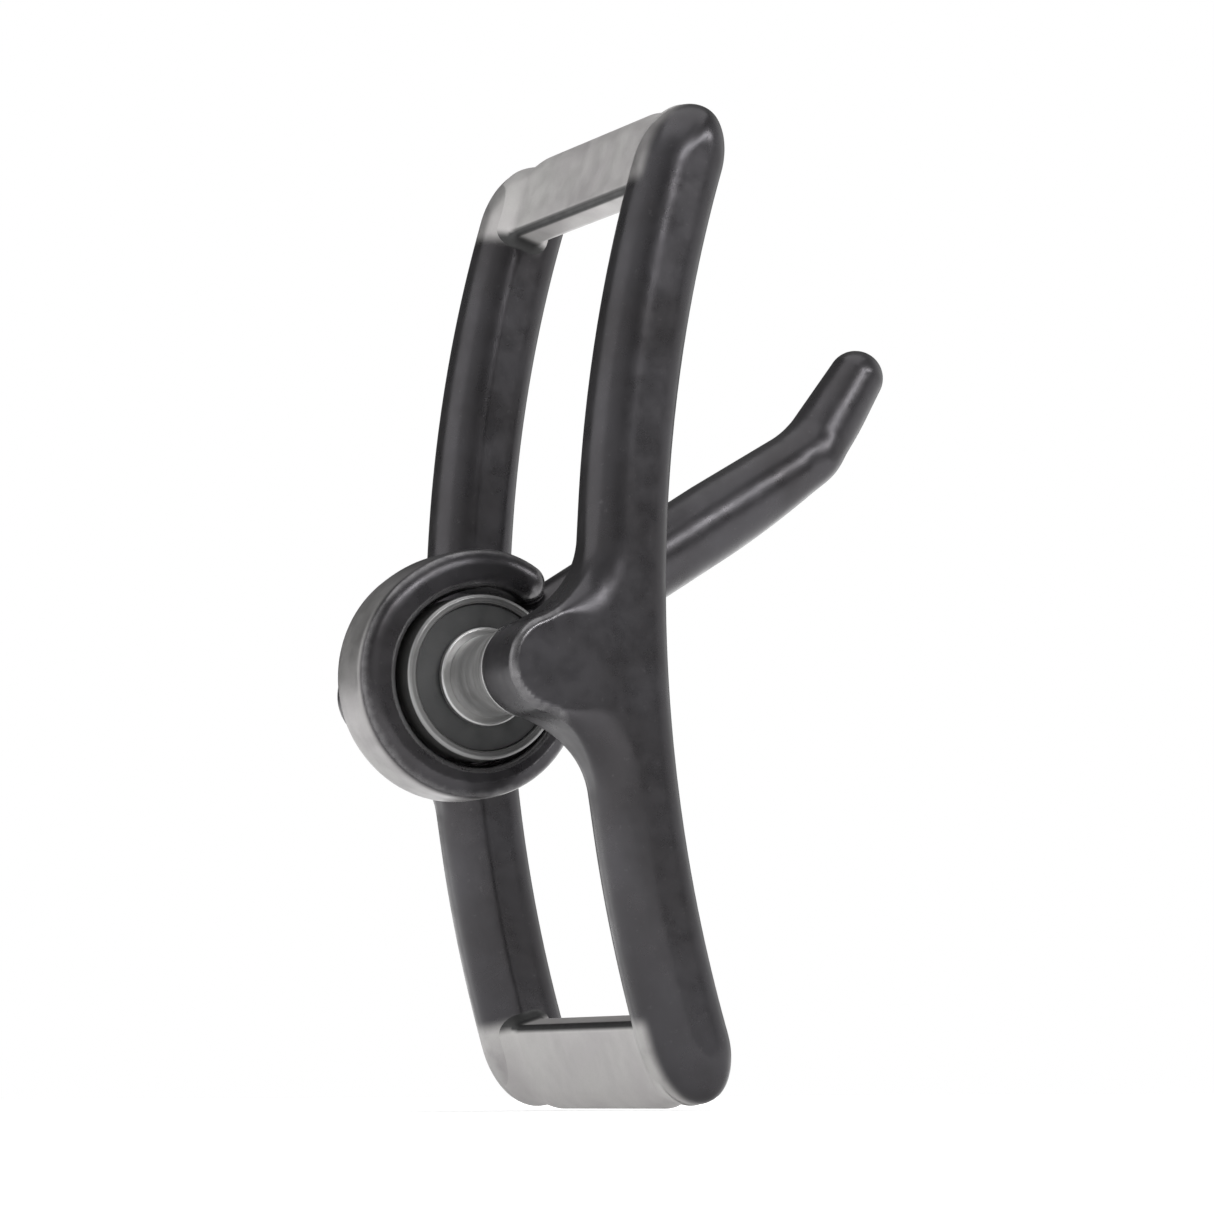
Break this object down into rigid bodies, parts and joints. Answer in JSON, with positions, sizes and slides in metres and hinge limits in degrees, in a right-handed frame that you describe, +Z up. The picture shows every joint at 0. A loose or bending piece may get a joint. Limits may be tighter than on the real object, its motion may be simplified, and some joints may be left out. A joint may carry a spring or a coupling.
{
  "type": "cleat horn with hook arm",
  "caption": "Bowed twin-bar horn frame with two end plates, a cross shaft on lugs and a bushed hook arm that swings through the window.",
  "frame": {"origin": "centre of the lower end plate's face on the rounded side of the bow", "axes": "+Z up along the frame from the lower end plate to the upper one, +X across the frame from the left bar to the right bar, +Y from the hollow side of the bow, where the arm reaches out, to its rounded side"},
  "size_m": [0.0684, 0.0921, 0.1522],
  "materials": {
    "dark_metal": "smooth dark gunmetal finish, semi-gloss",
    "pale_metal": "satin, bead-blasted pale grey",
    "shaft_metal": "turned, satin",
    "liner_black": "dark bearing liner, matt"
  },
  "bodies": {
    "frame": {"left_side_bar": "dark_metal", "right_side_bar": "dark_metal", "upper_end_plate": "pale_metal", "lower_end_plate": "pale_metal", "cross_shaft": "shaft_metal", "inner_sleeve": "shaft_metal", "left_thrust_washer": "shaft_metal", "right_thrust_washer": "shaft_metal", "left_spacer": "shaft_metal", "right_spacer": "shaft_metal"},
    "arm": {"hook_arm": "dark_metal", "bush_shell": "dark_metal", "bush_liner": "liner_black"}
  },
  "joints": [
    {"name": "arm_swing", "type": "hinge", "parent": "frame", "child": "arm", "pos_m": [0, 0.01996, 0.05865], "axis": [1, 0, 0], "range_deg": [-32, 90]}
  ]
}
